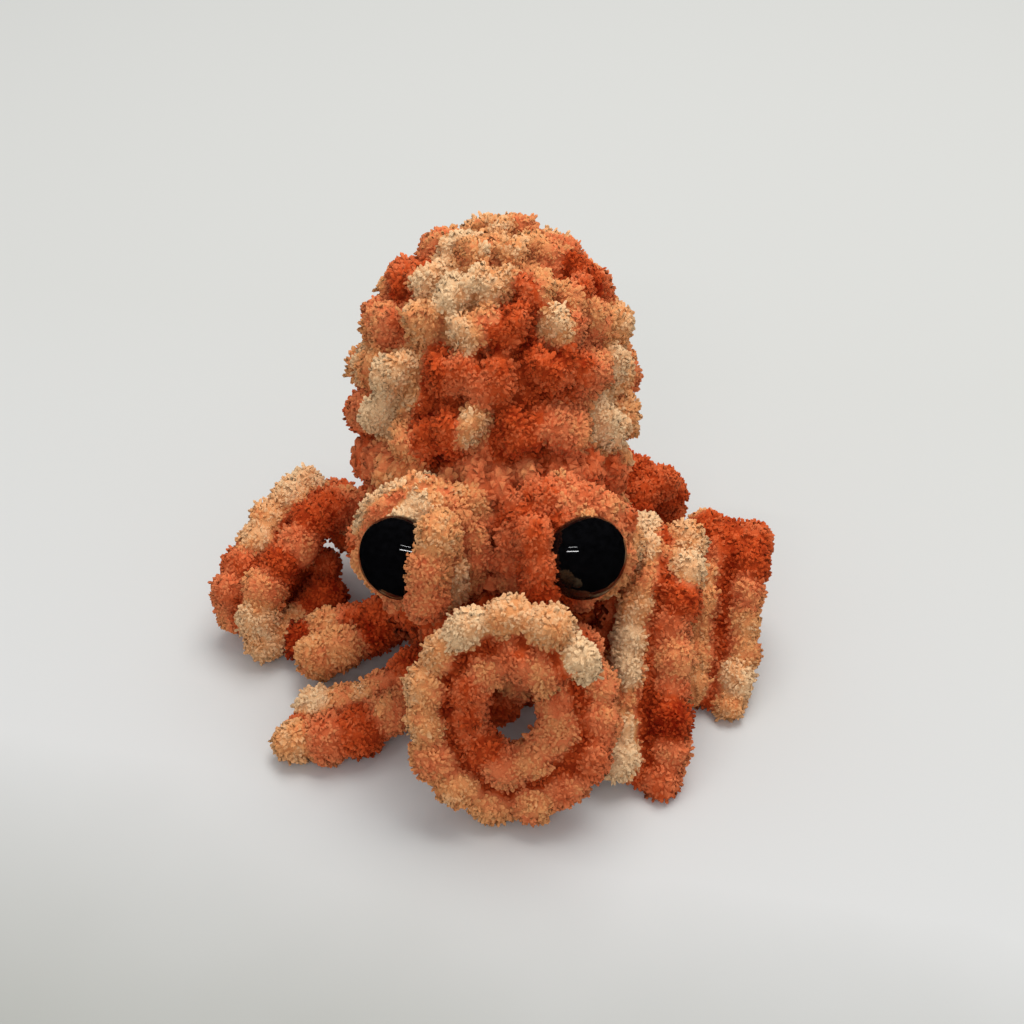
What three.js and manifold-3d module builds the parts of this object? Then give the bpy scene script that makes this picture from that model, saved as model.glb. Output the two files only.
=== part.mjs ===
// A crocheted octopus toy in thick chenille yarn: a stuffed head that leans back on a flat base,
// two padded eye mounds with black safety eyes locked by washers, and eight floppy arms.
// Millimetres, +Z up, the face looks along -Y. The origin is the middle of the base, on the floor.
// Left and right are those of someone who looks at the toy's face.

import * as THREE from 'three';
import { mergeVertices } from 'three/addons/utils/BufferGeometryUtils.js';
import Module from 'manifold-3d';

const wasm = await Module();
wasm.setup();

// Yarn and fit
const STRAND = 8.8; // thickness of one crocheted strand, pile included
const FABRIC = 8; // thickness of the crocheted wall
const GAP = 0.3; // clearance between pieces that touch
const ARM_PLAY = 0.4; // clearance round an arm's root, which turns in its seat
const ARM_CLEARANCE = 0.6; // between an arm and the head it swings past
const FLOOR_PRESS = 0.5; // how far the coiled arm is pressed flat by the floor

// Head
const HEAD_LENGTH = 80; // crown to foot, along its axis
const HEAD_RADIUS = 26.6; // at the widest round
const HEAD_WIDEST = 34; // from the crown down to the widest round
const HEAD_FOOT_RADIUS = 19.5;
const HEAD_TAPER = 1.6; // above 1, most of the narrowing is near the foot
const HEAD_LEAN = 28; // degrees, backwards
const HEAD_ROUNDS = 8; // crocheted rounds from crown to foot
const ROUND_SWELL = 1; // how far each round bulges

// Base
const BASE_RADIUS = 17.5;
const BASE_THICKNESS = 8;

// Eyes and their mounds
const MOUND_HALF_WIDTH = 14.2;
const MOUND_HALF_DEPTH = 12;
const MOUND_HALF_HEIGHT = 14.2;
const MOUND_SPREAD = 12.2; // from the middle plane
const MOUND_FORWARD = 9;
const MOUND_LEVEL = 37.5; // height of its middle
const EYE_RADIUS = 7.5;
const EYE_RISE = 5; // height of the domed front
const EYE_RIM = 0.8; // straight edge behind the dome
const EYE_SINK = 2.2; // how deep its back sits in the mound
const EYE_ACROSS = 16.4; // from the middle plane
const EYE_LEVEL = 42;
const EYE_TURN = 22; // degrees outwards
const EYE_TILT = 20; // degrees upwards
const POST_RADIUS = 2.3;
const POST_LENGTH = 19;
const POST_TIP = 0.7; // share of the post's radius left at its tip
const WASHER_RADIUS = 6.5;
const WASHER_THICKNESS = 1.8;
const PINCH = 14; // yarn between the eye's back and the washer

// Arms: each is a ribbon of two strands side by side, on a round root that turns in the head's foot
const STRAND_SPREAD = 0.92; // strand centres from the ribbon's middle line, in strand radii
const WAIST = 0.55; // height of the groove between the strands, in strand radii
const NECK = 0.5; // width where the ribbon leaves its root, as a share of its full width
const NECK_LENGTH = 1.6; // in strand widths
const TIP_LENGTH = 0.8; // length of the rounded tip, in strand widths
const ROOT_RADIUS = 6;
const ROOT_OUT = 1.5; // root's centre, outside the head's surface
const ROOT_LEVEL = 9.5; // height of the root's centre

// The front arm's coil, in millimetres and degrees
const COIL_HALF_WIDTH = 10.6; // of the ribbon's middle line
const COIL_HALF_HEIGHT = 13.4;
const COIL_LEAN = 27; // its top towards the head
const COIL_FORWARD = 12; // its middle, in front of the root
const COIL_ASIDE = 3.4;
const COIL_START = -98; // bearing on the coil, from the viewer's right and upwards, where it begins
const COIL_TIP = 20; // bearing of its tip
const COIL_POINTS = 9;

// Facets
const HEAD_FACETS = 28;
const INSIDE_FACETS = 20;
const INSIDE_STEPS = 12;
const BASE_FACETS = 32;
const EYE_FACETS = 24;
const BORE_FACETS = 20;
const MOUND_FACETS = 20;
const ROOT_FACETS = 12;
const ARM_RINGS = 22;
const LOBE_POINTS = 5; // round the outside of each strand
const RINGS_TO_TIP = 1.15; // above 1, the rings crowd towards the tip
const BEYOND = 400; // larger than the whole toy

const radians = THREE.MathUtils.degToRad;
const up = new THREE.Vector3(0, 0, 1);

// A closed solid from any geometry, and a geometry from a solid
function solid(geometry) {
  const bare = geometry.index ? geometry.toNonIndexed() : geometry.clone();
  bare.deleteAttribute('normal');
  bare.deleteAttribute('uv');
  const merged = mergeVertices(bare, 1e-4);
  return new wasm.Manifold(new wasm.Mesh({
    numProp: 3,
    vertProperties: new Float32Array(merged.attributes.position.array),
    triVerts: new Uint32Array(merged.index.array),
  }));
}

function geometryOf(manifold) {
  const mesh = manifold.getMesh();
  const geometry = new THREE.BufferGeometry();
  geometry.setAttribute('position', new THREE.BufferAttribute(mesh.vertProperties, 3));
  geometry.setIndex(new THREE.BufferAttribute(mesh.triVerts, 1));
  geometry.computeVertexNormals();
  return geometry;
}

// A profile of [radius, height] points turned about an axis that starts at a given place
function revolved(profile, facets, origin, axis) {
  const points = profile.map(([radius, height]) => new THREE.Vector2(radius, height));
  const turn = new THREE.Quaternion().setFromUnitVectors(new THREE.Vector3(0, 1, 0), axis);
  const place = new THREE.Matrix4().compose(origin, turn, new THREE.Vector3(1, 1, 1));
  return solid(new THREE.LatheGeometry(points, facets).applyMatrix4(place));
}

function everythingBelow(height) {
  const block = new THREE.BoxGeometry(BEYOND, BEYOND, BEYOND);
  return solid(block.translate(0, 0, height - BEYOND / 2));
}

function ball(centre, radius) {
  const shape = new THREE.SphereGeometry(radius, ROOT_FACETS, (ROOT_FACETS * 2) / 3);
  return solid(shape.translate(centre.x, centre.y, centre.z));
}

// Head: an egg along a leaning axis, its height counted up from the foot
const headFoot = new THREE.Vector3(0, 0, BASE_THICKNESS);
const headAxis = new THREE.Vector3(0, Math.sin(radians(HEAD_LEAN)), Math.cos(radians(HEAD_LEAN)));

function headRadiusAt(height) {
  const fromCrown = HEAD_LENGTH - height;
  if (fromCrown < HEAD_WIDEST) {
    const share = (HEAD_WIDEST - fromCrown) / HEAD_WIDEST;
    return HEAD_RADIUS * Math.sqrt(Math.max(0, 1 - share * share));
  }
  const share = (fromCrown - HEAD_WIDEST) / (HEAD_LENGTH - HEAD_WIDEST);
  return HEAD_RADIUS - (HEAD_RADIUS - HEAD_FOOT_RADIUS) * share ** HEAD_TAPER;
}

// The egg runs on below its foot, because the base cuts a leaning head at a slant
const headBelow = HEAD_FOOT_RADIUS * Math.tan(radians(HEAD_LEAN)) + FABRIC / 2;

function headForm(grow = 0) {
  const step = HEAD_LENGTH / HEAD_ROUNDS / 2;
  const first = -Math.ceil(headBelow / step);
  const rows = [[0, first * step]];
  for (let i = first; i < HEAD_ROUNDS * 2; i += 1) {
    const swell = i % 2 === 0 ? 0 : ROUND_SWELL;
    rows.push([headRadiusAt(i * step) + swell + grow, i * step]);
  }
  rows.push([headRadiusAt(HEAD_LENGTH - ROUND_SWELL) + grow, HEAD_LENGTH - ROUND_SWELL + grow]);
  rows.push([0, HEAD_LENGTH + grow]);
  return revolved(rows, HEAD_FACETS, headFoot, headAxis);
}

function headInside(inset) {
  const top = HEAD_LENGTH - inset;
  const rows = [[0, -headBelow]];
  for (let i = 0; i < INSIDE_STEPS; i += 1) {
    const height = -headBelow + ((top + headBelow) * i) / INSIDE_STEPS;
    const outside = height < 0 ? height : height * (HEAD_LENGTH / top);
    rows.push([Math.max(1, headRadiusAt(outside) - inset), height]);
  }
  rows.push([0, top]);
  return revolved(rows, INSIDE_FACETS, headFoot, headAxis);
}

function insideHead(point) {
  const along = point.clone().sub(headFoot);
  const height = along.dot(headAxis);
  return along.addScaledVector(headAxis, -height).length() < headRadiusAt(height);
}

// The base: a crocheted round with a soft edge and a flat underside
function baseForm(grow = 0) {
  const half = BASE_THICKNESS / 2;
  const rows = [[0, -grow]];
  const steps = 6;
  for (let i = 0; i <= steps; i += 1) {
    const angle = -Math.PI / 2 + (Math.PI * i) / steps;
    const radius = BASE_RADIUS - half + (half + grow) * Math.cos(angle);
    rows.push([radius, half + (half + grow) * Math.sin(angle)]);
  }
  rows.push([0, BASE_THICKNESS + grow]);
  return revolved(rows, BASE_FACETS, new THREE.Vector3(), up);
}

// Eye mounds: cushions on the front of the head that meet in a crease. A side is -1 or 1.
function moundForm(side, grow = 0) {
  const shape = new THREE.SphereGeometry(1, MOUND_FACETS, (MOUND_FACETS * 3) / 5);
  shape.scale(MOUND_HALF_WIDTH + grow, MOUND_HALF_DEPTH + grow, MOUND_HALF_HEIGHT + grow);
  shape.translate(side * MOUND_SPREAD, -MOUND_FORWARD, MOUND_LEVEL);
  return solid(shape);
}

function otherSideOf(side) {
  const middle = -side * (BEYOND / 2 - GAP / 2);
  return solid(new THREE.BoxGeometry(BEYOND, BEYOND, BEYOND).translate(middle, 0, 0));
}

// Eyes: a dome on a straight rim with a post behind it, which a washer locks inside the head
function eyeAxis(side) {
  const turn = radians(EYE_TURN) * side;
  const tilt = radians(EYE_TILT);
  const level = Math.cos(tilt);
  return new THREE.Vector3(Math.sin(turn) * level, -Math.cos(turn) * level, Math.sin(tilt));
}

// The middle of the eye's back, which the mound's size moves with its surface
function eyeSeat(side) {
  const across = (EYE_ACROSS - MOUND_SPREAD) / MOUND_HALF_WIDTH;
  const rise = (EYE_LEVEL - MOUND_LEVEL) / MOUND_HALF_HEIGHT;
  const depth = MOUND_HALF_DEPTH * Math.sqrt(1 - across * across - rise * rise);
  const onSurface = new THREE.Vector3(side * EYE_ACROSS, -MOUND_FORWARD - depth, EYE_LEVEL);
  return onSurface.addScaledVector(eyeAxis(side), -EYE_SINK);
}

function eyeForm(side) {
  const chamfer = POST_RADIUS * (1 - POST_TIP);
  const profile = [[0, -POST_LENGTH], [POST_RADIUS - chamfer, -POST_LENGTH]];
  profile.push([POST_RADIUS, chamfer - POST_LENGTH], [POST_RADIUS, 0], [EYE_RADIUS, 0]);
  const steps = 7;
  for (let i = 0; i < steps; i += 1) {
    const angle = (Math.PI / 2) * (i / steps);
    profile.push([EYE_RADIUS * Math.cos(angle), EYE_RIM + EYE_RISE * Math.sin(angle)]);
  }
  profile.push([0, EYE_RIM + EYE_RISE]);
  return revolved(profile, EYE_FACETS, eyeSeat(side), eyeAxis(side));
}

function washerForm(side) {
  const front = -PINCH - GAP;
  const back = front - WASHER_THICKNESS;
  const bore = POST_RADIUS + GAP;
  const profile = [[bore, back], [WASHER_RADIUS, back], [WASHER_RADIUS, front]];
  profile.push([bore, front], [bore, back]);
  return revolved(profile, EYE_FACETS, eyeSeat(side), eyeAxis(side));
}

// Round room on the eye's axis, for the eye, its post and its washer
function eyeBar(side, radius, from, to) {
  const profile = [[0, from], [radius, from], [radius, to], [0, to]];
  return revolved(profile, BORE_FACETS, eyeSeat(side), eyeAxis(side));
}

const eyeRoom = (side) => eyeBar(side, EYE_RADIUS + GAP, -GAP, BEYOND / 2);
const postRoom = (side) => eyeBar(side, POST_RADIUS + GAP, -POST_LENGTH - GAP, 0);
const washerRoom = (side) => eyeBar(side, WASHER_RADIUS + GAP, -POST_LENGTH - GAP, -PINCH);

// Arm roots: round the head's foot, each at its own bearing from the front
function outwardAt(bearing) {
  return new THREE.Vector3(Math.sin(radians(bearing)), -Math.cos(radians(bearing)), 0);
}

function rootCentre(bearing) {
  const point = new THREE.Vector3(0, 0, ROOT_LEVEL);
  point.y = (headAxis.y / headAxis.z) * (ROOT_LEVEL - headFoot.z);
  const step = 0.05;
  while (insideHead(point)) point.addScaledVector(outwardAt(bearing), step);
  return point.addScaledVector(outwardAt(bearing), ROOT_OUT);
}

// The coiled arm: a lead climbs behind the coil, which then turns once in front of it.
// The lead's points are [across, up, back] from the coil's middle, in strand widths.
const COIL_LEAD = [[-0.1, 0.7, 1.4], [0.45, 1.25, 1.25], [1.15, 1.1, 1.15], [1.55, 0.35, 1.05],
  [1.5, -0.5, 0.8], [0.95, -1.15, 0.35]];
const coilAcross = new THREE.Vector3(1, 0, 0);
const coilUp = new THREE.Vector3(0, Math.sin(radians(COIL_LEAN)), Math.cos(radians(COIL_LEAN)));
const coilBack = new THREE.Vector3().crossVectors(coilAcross, coilUp);

function coilRoute(arm) {
  const reach = COIL_HALF_HEIGHT + (STRAND / 2) * (1 + STRAND_SPREAD) - FLOOR_PRESS;
  const root = rootCentre(arm.bearing);
  const middle = new THREE.Vector3(COIL_ASIDE, root.y - COIL_FORWARD, reach * coilUp.z);
  const at = (across, rise, back) => middle.clone().addScaledVector(coilAcross, across)
    .addScaledVector(coilUp, rise).addScaledVector(coilBack, back);
  const points = COIL_LEAD.map((place) => at(...place.map((value) => value * STRAND)));
  const sweep = 360 - (COIL_TIP - COIL_START);
  for (let i = 0; i < COIL_POINTS; i += 1) {
    const bearing = radians(COIL_START - (sweep * i) / (COIL_POINTS - 1));
    points.push(at(COIL_HALF_WIDTH * Math.cos(bearing), COIL_HALF_HEIGHT * Math.sin(bearing), 0));
  }
  return points;
}

// Any other arm passes through places [out from its root, aside, above the floor], in strand
// widths. Aside is counter-clockwise seen from above.
function placedRoute(arm) {
  const root = rootCentre(arm.bearing);
  const outward = outwardAt(arm.bearing);
  const aside = new THREE.Vector3().crossVectors(up, outward);
  return arm.places.map(([out, across, level]) => new THREE.Vector3(root.x, root.y, level * STRAND)
    .addScaledVector(outward, out * STRAND).addScaledVector(aside, across * STRAND));
}

// Which way a ribbon's two strands lie beside each other, along its length
const fixedSide = (x, y, z) => () => new THREE.Vector3(x, y, z);
const turningSide = (from, to) => (share) =>
  new THREE.Vector3(...from).lerp(new THREE.Vector3(...to), share);
const facingBack = (share, tangent) => new THREE.Vector3().crossVectors(coilBack, tangent);

// An arm makes room for the arms it lies on or beside
const ARMS = [
  { name: 'front_arm', bearing: 0, side: facingBack },
  {
    name: 'front_right_arm',
    bearing: 45,
    side: turningSide([0.5, -0.75, 0], [1, 0.1, 0]),
    places: [[0.4, 0.75, 1.7], [0.4, 1.7, 2.75], [0.3, 2.3, 3.6], [0.85, 1.75, 3.45],
      [1.45, 0.8, 2.35], [2.2, -0.2, 0.95], [2.65, -0.85, 0]],
  },
  {
    name: 'right_arm',
    bearing: 90,
    side: turningSide([-0.5, 0.8, 0], [-1, 0, 0]),
    besides: ['front_right_arm'],
    places: [[0.95, 0.35, 0.8], [1.9, 1.05, 1], [2.5, 1.5, 1.7], [2.75, 1.4, 2.5], [2.75, 0.7, 2.6],
      [2.6, -0.1, 1.95], [2.45, -1, 0.85], [2.2, -1.85, 0]],
  },
  {
    name: 'back_right_arm',
    bearing: 135,
    side: fixedSide(-0.75, 0.65, 0),
    places: [[1, 0.25, 1.5], [1.8, 0.25, 2.25], [2.6, 0.2, 2.05], [2.85, 0.4, 1], [2.75, 0.85, -0.1]],
  },
  {
    name: 'back_arm',
    bearing: 180,
    side: turningSide([0.75, 0.65, 0], [0.5, 1, 0]),
    besides: ['back_left_arm'],
    places: [[0.7, 0.45, 1.35], [1.25, 1.25, 2.05], [1.5, 2.15, 2.15], [1.7, 2.75, 1.15],
      [1.95, 2.75, -0.1]],
  },
  {
    name: 'back_left_arm',
    bearing: -135,
    side: fixedSide(0.65, -0.75, 0),
    places: [[1.1, 0.3, 1.35], [1.95, 0.5, 2.15], [1.85, 1.3, 2.45], [1.6, 2.6, 1.95],
      [1.4, 3.6, 1.3], [1.35, 3.6, 0.6], [1.25, 2.9, 0.35]],
  },
  {
    name: 'left_arm',
    bearing: -90,
    side: fixedSide(0, 1, 0),
    besides: ['back_left_arm'],
    places: [[0.75, 0.2, 0.9], [1.45, 0.3, 0.7], [2.1, 0.5, 0.45]],
  },
  {
    name: 'front_left_arm',
    bearing: -45,
    side: fixedSide(0, 1, 0),
    besides: ['left_arm', 'front_arm'],
    places: [[1, 0, 0.75], [1.85, -0.6, 0.5], [2.6, -1.45, 0.4]],
  },
];

// Cross-section of a ribbon: two round strands with a groove between them on both faces
function ribbonSection(grow) {
  const radius = STRAND / 2 + grow;
  const spread = (STRAND / 2) * STRAND_SPREAD;
  const section = [];
  for (const lobe of [1, -1]) {
    for (let i = 0; i < LOBE_POINTS; i += 1) {
      const angle = -Math.PI / 2 + (Math.PI * i) / (LOBE_POINTS - 1);
      section.push([lobe * (spread + radius * Math.cos(angle)), lobe * radius * Math.sin(angle)]);
    }
    section.push([0, lobe * radius * WAIST]);
  }
  return section;
}

// Narrow at the root, full along its length and rounded off at the tip
function ribbonWidth(along, length) {
  const fromRoot = along / (STRAND * NECK_LENGTH);
  const fromTip = (length - along) / (STRAND * TIP_LENGTH);
  const opening = NECK + (1 - NECK) * Math.min(1, fromRoot);
  const closing = fromTip < 1 ? Math.sqrt(Math.max(0, 1 - (1 - fromTip) ** 2)) : 1;
  return opening * closing;
}

function ribbonRing(arm, curve, share, section) {
  const length = curve.getLength();
  const tangent = curve.getTangentAt(share);
  const side = arm.side(share, tangent).projectOnPlane(tangent).normalize();
  const face = new THREE.Vector3().crossVectors(tangent, side);
  const width = ribbonWidth(share * length, length);
  return section.map(([across, thick]) => curve.getPointAt(share)
    .addScaledVector(side, across * width).addScaledVector(face, thick * Math.sqrt(width)));
}

// Rings of points joined into a closed skin that ends in a point at both ends
function skinned(start, rings, end) {
  const points = [start, ...rings.flat(), end];
  const count = rings[0].length;
  const last = points.length - 1;
  const index = [];
  for (let k = 0; k < count; k += 1) {
    const next = (k + 1) % count;
    index.push(0, 1 + next, 1 + k);
    for (let i = 0; i + 1 < rings.length; i += 1) {
      const here = 1 + i * count;
      const ahead = here + count;
      index.push(here + k, here + next, ahead + next, here + k, ahead + next, ahead + k);
    }
    index.push(last, last - count + k, last - count + next);
  }
  const geometry = new THREE.BufferGeometry().setFromPoints(points);
  geometry.setIndex(index);
  return solid(geometry);
}

function armForm(arm, grow = 0) {
  const root = rootCentre(arm.bearing);
  const route = arm.places ? placedRoute(arm) : coilRoute(arm);
  const curve = new THREE.CatmullRomCurve3([root, ...route], false, 'centripetal');
  const section = ribbonSection(grow);
  const rings = [];
  for (let i = 0; i < ARM_RINGS; i += 1) {
    const share = i === 0 ? 0.01 : 1 - (1 - i / ARM_RINGS) ** RINGS_TO_TIP;
    rings.push(ribbonRing(arm, curve, share, section));
  }
  const skin = skinned(curve.getPointAt(0), rings, curve.getPointAt(1));
  return skin.add(ball(root, ROOT_RADIUS + grow));
}

// Assembly
const YARN = { color: 0xcf7f52, roughness: 0.95, metalness: 0 };
const DARK_YARN = { color: 0xb4552f, roughness: 0.95, metalness: 0 };
const PALE_YARN = { color: 0xdba173, roughness: 0.95, metalness: 0 };
const FILLING = { color: 0xf2f0ea, roughness: 1, metalness: 0 };
const BLACK_PLASTIC = { color: 0x0a0a0b, roughness: 0.08, metalness: 0 };
const CLEAR_PLASTIC = { color: 0xdedede, roughness: 0.4, metalness: 0 };

const toy = new THREE.Group();

function addPiece(name, form, finish) {
  const mesh = new THREE.Mesh(geometryOf(form), new THREE.MeshStandardMaterial(finish));
  mesh.name = name;
  toy.add(mesh);
}

const SIDES = { left: -1, right: 1 };
const underHead = everythingBelow(BASE_THICKNESS + GAP);
const seats = ARMS.map((arm) => ball(rootCentre(arm.bearing), ROOT_RADIUS + ARM_PLAY));

function addHeadAndBase() {
  let cover = headForm().subtract(headInside(FABRIC)).subtract(underHead);
  let filling = headInside(FABRIC + GAP).subtract(underHead);
  let base = baseForm();
  for (const side of Object.values(SIDES)) {
    const room = postRoom(side).add(washerRoom(side));
    cover = cover.subtract(room).subtract(eyeRoom(side));
    filling = filling.subtract(room);
  }
  for (const seat of seats) {
    cover = cover.subtract(seat);
    base = base.subtract(seat);
  }
  addPiece('head_cover', cover, YARN);
  addPiece('head_stuffing', filling, FILLING);
  addPiece('base_round', base, DARK_YARN);
}

function addEye(name, side) {
  const mound = moundForm(side).subtract(headForm(GAP)).subtract(otherSideOf(side));
  addPiece(`${name}_eye_mound`, mound.subtract(postRoom(side)).subtract(eyeRoom(side)), PALE_YARN);
  addPiece(`${name}_eye`, eyeForm(side), BLACK_PLASTIC);
  addPiece(`${name}_eye_washer`, washerForm(side), CLEAR_PLASTIC);
}

function addArm(arm) {
  let form = armForm(arm).subtract(everythingBelow(0)).subtract(headForm(ARM_CLEARANCE));
  form = form.subtract(baseForm(ARM_CLEARANCE));
  for (const side of Object.values(SIDES)) form = form.subtract(moundForm(side, ARM_CLEARANCE));
  for (const other of ARMS) {
    if ((arm.besides ?? []).includes(other.name)) form = form.subtract(armForm(other, GAP));
    if (other !== arm) form = form.subtract(seats[ARMS.indexOf(other)]);
  }
  addPiece(arm.name, form.add(ball(rootCentre(arm.bearing), ROOT_RADIUS)), YARN);
}

addHeadAndBase();
for (const [name, side] of Object.entries(SIDES)) addEye(name, side);
for (const arm of ARMS) addArm(arm);

export default toy;
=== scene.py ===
"""The crocheted octopus toy in thick variegated chenille yarn, for Blender 4.5.

The yarn is modelled as rounded stitches that are joined into one skin per body. Geometry Nodes
then cover each skin with short tufts of pile, and the result becomes a plain mesh.
Lengths in this file are millimetres, and MM turns them into Blender's metres.
"""

import math
from collections import namedtuple

import bmesh
import bpy
import numpy as np
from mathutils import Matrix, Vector, kdtree


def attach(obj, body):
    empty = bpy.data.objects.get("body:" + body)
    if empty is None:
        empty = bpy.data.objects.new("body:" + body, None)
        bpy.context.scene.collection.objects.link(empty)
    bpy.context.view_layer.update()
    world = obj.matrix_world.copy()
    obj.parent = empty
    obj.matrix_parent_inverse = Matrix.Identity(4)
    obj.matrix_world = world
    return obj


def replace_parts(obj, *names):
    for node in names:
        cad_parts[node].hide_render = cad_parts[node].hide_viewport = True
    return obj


MM = 0.001
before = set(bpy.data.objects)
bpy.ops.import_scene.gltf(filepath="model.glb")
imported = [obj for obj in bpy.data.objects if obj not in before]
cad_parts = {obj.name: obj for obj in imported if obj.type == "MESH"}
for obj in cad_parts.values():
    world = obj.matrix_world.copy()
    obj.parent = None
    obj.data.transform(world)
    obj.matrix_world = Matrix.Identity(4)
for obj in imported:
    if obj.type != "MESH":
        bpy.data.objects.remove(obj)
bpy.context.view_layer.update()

# The camera stands where the photograph was taken from
IMAGE = 1024  # pixels across
FOCAL = 1500  # pixels
SENSOR = 36
CAMERA_AT = (3.3, -216.0, 205.7)
CAMERA_AIM = (3.3, 20.4, 21.0)


def new_object(name, data):
    made = bpy.data.objects.new(name, data)
    bpy.context.scene.collection.objects.link(made)
    return made


def make_camera():
    data = bpy.data.cameras.new("camera")
    data.sensor_width = SENSOR
    data.lens = FOCAL * SENSOR / IMAGE
    data.clip_start = 0.01
    camera = new_object("camera", data)
    camera.location = Vector(CAMERA_AT) * MM
    aim = (Vector(CAMERA_AIM) - Vector(CAMERA_AT)).normalized()
    camera.rotation_euler = aim.to_track_quat("-Z", "Y").to_euler()
    bpy.context.scene.camera = camera


make_camera()


# Nodes
class Socket:
    """A value in a node tree. Arithmetic on it adds the node that does it."""

    def __init__(self, tree, socket):
        self.tree = tree
        self.socket = socket

    def link(self, made, key, value):
        if isinstance(value, Socket):
            self.tree.links.new(value.socket, made.inputs[key])
        elif value is not None:
            made.inputs[key].default_value = value

    def node(self, kind, inputs=(), out=0, **settings):
        """Adds a node. inputs is a list of values, or a dict of socket name or number to value."""
        made = self.tree.nodes.new(kind)
        for key, value in settings.items():
            setattr(made, key, value)
        pairs = inputs.items() if isinstance(inputs, dict) else enumerate(inputs)
        for key, value in pairs:
            self.link(made, key, value)
        return Socket(self.tree, made.outputs[out])

    def also(self, out):
        """Another output of the node that this value comes from."""
        return Socket(self.tree, self.socket.node.outputs[out])

    def math(self, operation, *others):
        return self.node("ShaderNodeMath", (self, *others), operation=operation)

    def vector_math(self, operation, *others, out=0):
        return self.node("ShaderNodeVectorMath", (self, *others), out=out, operation=operation)

    def scaled(self, factor):
        return self.node("ShaderNodeVectorMath", {0: self, 3: factor}, operation="SCALE")

    def __add__(self, other):
        return self.math("ADD", other)

    def __sub__(self, other):
        return self.math("SUBTRACT", other)

    def __mul__(self, other):
        return self.math("MULTIPLY", other)

    def __truediv__(self, other):
        return self.math("DIVIDE", other)

    def clamped(self):
        return self.node("ShaderNodeClamp", (self, 0.0, 1.0))


def linear(code):
    """A colour written as #rrggbb, as Blender's linear values."""
    parts = [int(code[i:i + 2], 16) / 255 for i in (1, 3, 5)]
    return [p / 12.92 if p < 0.04045 else ((p + 0.055) / 1.055) ** 2.4 for p in parts] + [1.0]


def ramp(value, stops):
    made = value.node("ShaderNodeValToRGB", (value,))
    elements = made.socket.node.color_ramp.elements
    while len(elements) < len(stops):
        elements.new(0.5)
    for element, (place, colour) in zip(elements, stops):
        element.position = place
        element.color = linear(colour)
    return made


def material(name, **fixed):
    """A new material, its shader, and the place on the surface in the piece's own coordinates."""
    made = bpy.data.materials.new(name)
    made.use_nodes = True
    shader = made.node_tree.nodes["Principled BSDF"]
    for key, value in fixed.items():
        shader.inputs[key.replace("_", " ")].default_value = value
    place = Socket(made.node_tree, shader.outputs[0]).node("ShaderNodeTexCoord", out=3)
    return made, shader, place


def noise(place, scale, detail=3.0):
    return place.node("ShaderNodeTexNoise", {"Vector": place, "Scale": scale, "Detail": detail})


def feed(shader, key, value):
    value.tree.links.new(value.socket, shader.inputs[key])


# Materials
DYES = [(0.0, "#ffd4a3"), (0.28, "#f5a86a"), (0.52, "#ef8252"), (0.78, "#d65626"), (1.0, "#962307")]
SPECK_SCALE, FIBRE_SCALE, FIBRE_DEPTH = 300.0, 3500.0, 0.0003  # the depth in metres

# How far each value moves the yarn's dye, and where that value leaves it alone. tone and speck are the
# yarn's own; tip and crease add painted shade, redder at the pile's foot and in creases
DYE_AND_SHADE_SHIFTS = {"tone": (0.08, 0.5), "speck": (0.5, 0.5), "tip": (-0.1, 0.5), "crease": (0.25, 0.0)}

# How the brightness changes as each value goes from 0 to 1, and what it is at 0. tone and fibre are the
# yarn's own grain; tip, hollow and crease are painted shade, darker at the pile's foot, round its curls and
# in creases
PAINTED_SHADE_AND_GRAIN = {"tip": (0.14, 0.88), "tone": (0.08, 0.96), "fibre": (0.4, 0.8), "hollow": (-0.1, 1.05),
              "crease": (-0.6, 1.0)}
FLOOR_SHADE_TONES = [(0.24, "#a3a49d"), (0.48, "#d3d4d3"), (1.0, "#cecfcc")]  # painted shade: the floor's tones from the darker front to the back
FLOOR_SLOPE, FLOOR_START = (0.8, 3.2), 0.62  # of the painted shade, which lightens the floor rightwards and backwards per metre, and at the toy


def chenille_material():
    """Pile dyed in stretches, with painted shade: darker and redder at its foot and in creases, darker in
    the hollows round its curls, and paler at its tip.
    """
    made, shader, place = material("chenille", Roughness=0.95, Specular_IOR_Level=0.06, Sheen_Weight=0.08,
                                   Sheen_Roughness=0.5)
    shader.inputs["Sheen Tint"].default_value = linear("#ffc79a")
    values = {name: place.node("ShaderNodeAttribute", attribute_name=name, out=2)
              for name in ("dye", "tone", "tip", "hollow", "crease")}
    values["fibre"] = noise(place, FIBRE_SCALE)
    values["speck"] = noise(place, SPECK_SCALE)
    shade = values["dye"]
    # tip and crease shift the dye redder as painted shade at the pile's foot and in creases
    for name, (shift, middle) in DYE_AND_SHADE_SHIFTS.items():
        shade = shade + (values[name] - middle) * shift
    # The brightness carries painted shade: darker at the pile's foot, in the hollows round its curls and in
    # creases
    first, *others = (values[name] * change + least for name, (change, least) in PAINTED_SHADE_AND_GRAIN.items())
    light = math.prod(others, start=first)
    grey = light.node("ShaderNodeCombineColor", (light, light, light))
    lit = light.node("ShaderNodeMix", {0: 1.0, 6: ramp(shade.clamped(), DYES), 7: grey}, out=2,
                     data_type="RGBA", blend_type="MULTIPLY")
    feed(shader, "Base Color", lit)
    bump = {"Strength": 0.6, "Distance": FIBRE_DEPTH, "Height": values["fibre"]}
    feed(shader, "Normal", place.node("ShaderNodeBump", bump))
    return made


def plastic_material(name, scale, tones, roughness, rougher, **fixed):
    """Plastic with a fine grain of tones, where it is up to this much rougher."""
    made, shader, place = material(name, **fixed)
    grain = noise(place, scale)
    feed(shader, "Base Color", ramp(grain, tones))
    feed(shader, "Roughness", grain * rougher + roughness)
    return made


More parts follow.
